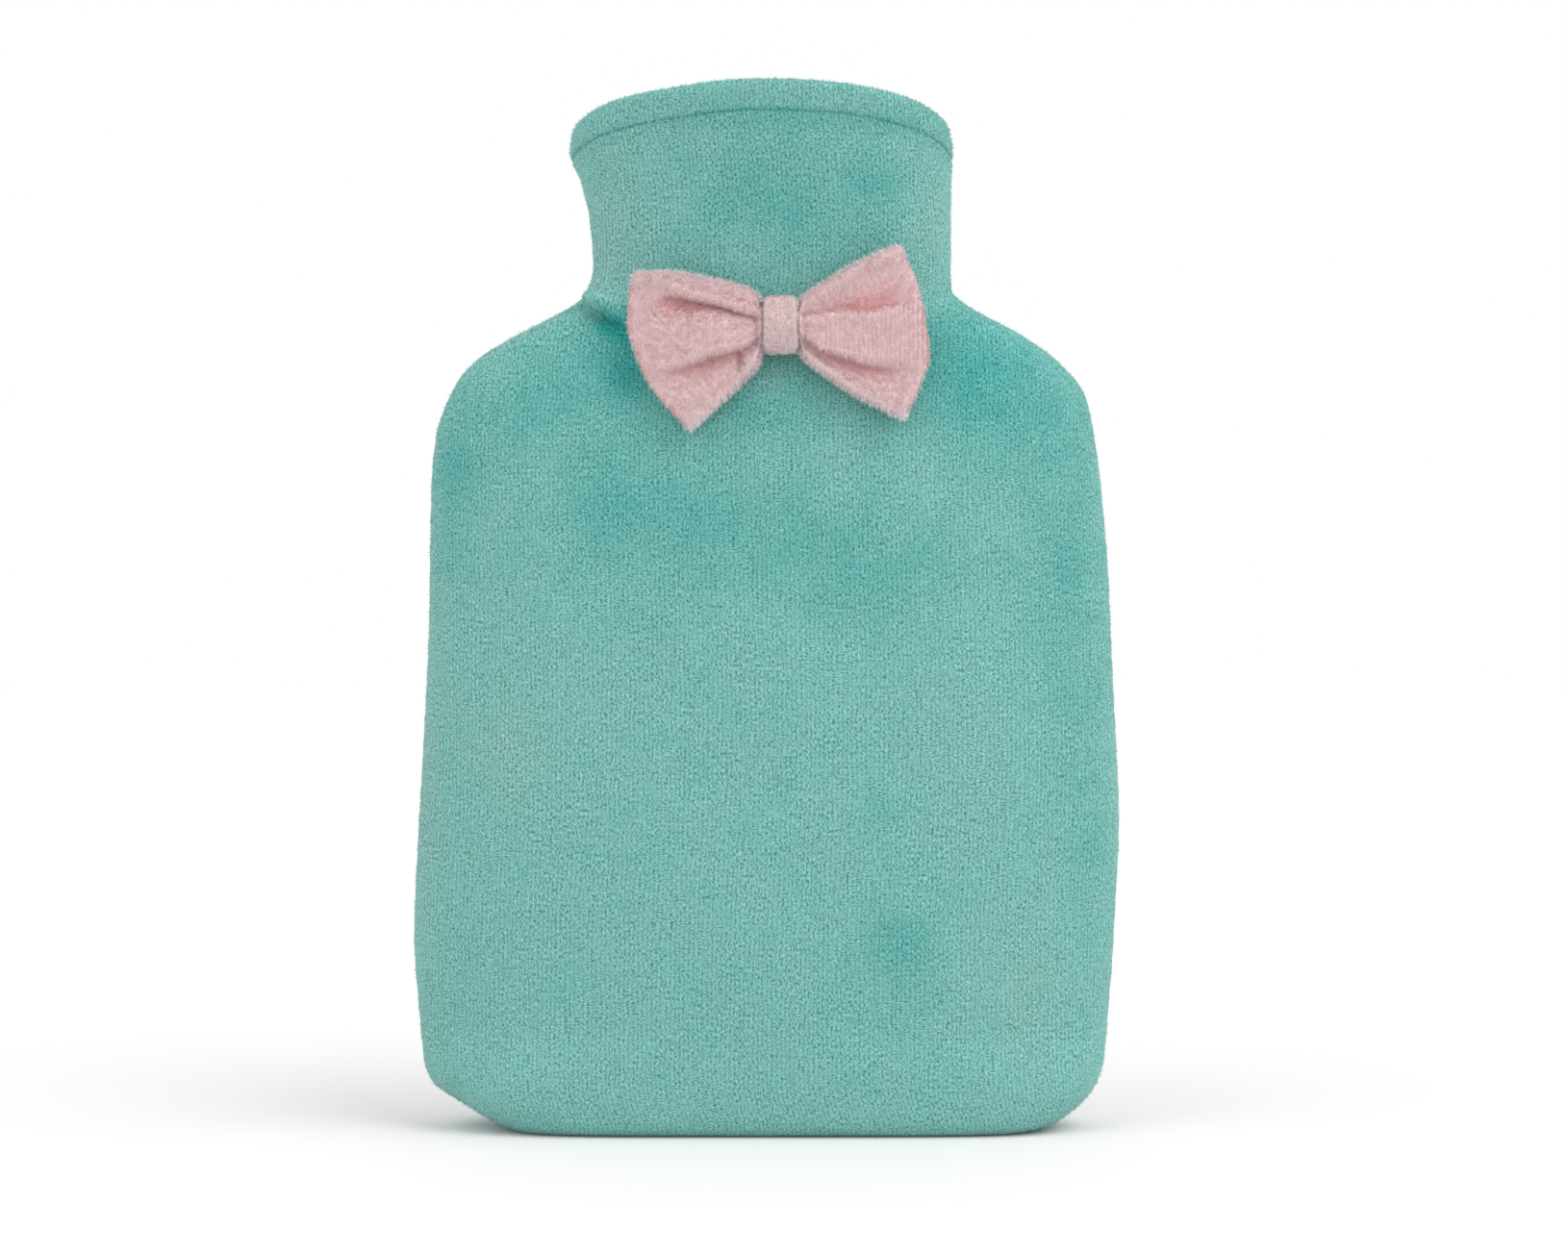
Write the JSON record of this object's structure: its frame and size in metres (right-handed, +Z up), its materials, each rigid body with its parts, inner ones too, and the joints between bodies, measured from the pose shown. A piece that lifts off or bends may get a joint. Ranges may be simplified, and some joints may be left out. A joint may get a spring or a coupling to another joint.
{
  "type": "hot water bottle cover",
  "caption": "Plush hot water bottle cover, standing upright and open at the neck, with a hemmed mouth and a bow sewn at the throat.",
  "frame": {"origin": "on the surface that the cover stands on, under the middle of its box", "axes": "+Z up, from the foot to the mouth; -Y out of the front, where the bow is; +X to the right as the front is seen"},
  "size_m": [0.2156, 0.0678, 0.3173],
  "materials": {
    "mint_velour": "matte plush",
    "pink_velour": "matte plush"
  },
  "bodies": {
    "root": {"front_panel": "mint_velour", "back_panel": "mint_velour", "bow_loops": "pink_velour", "bow_band": "pink_velour"}
  },
  "joints": []
}
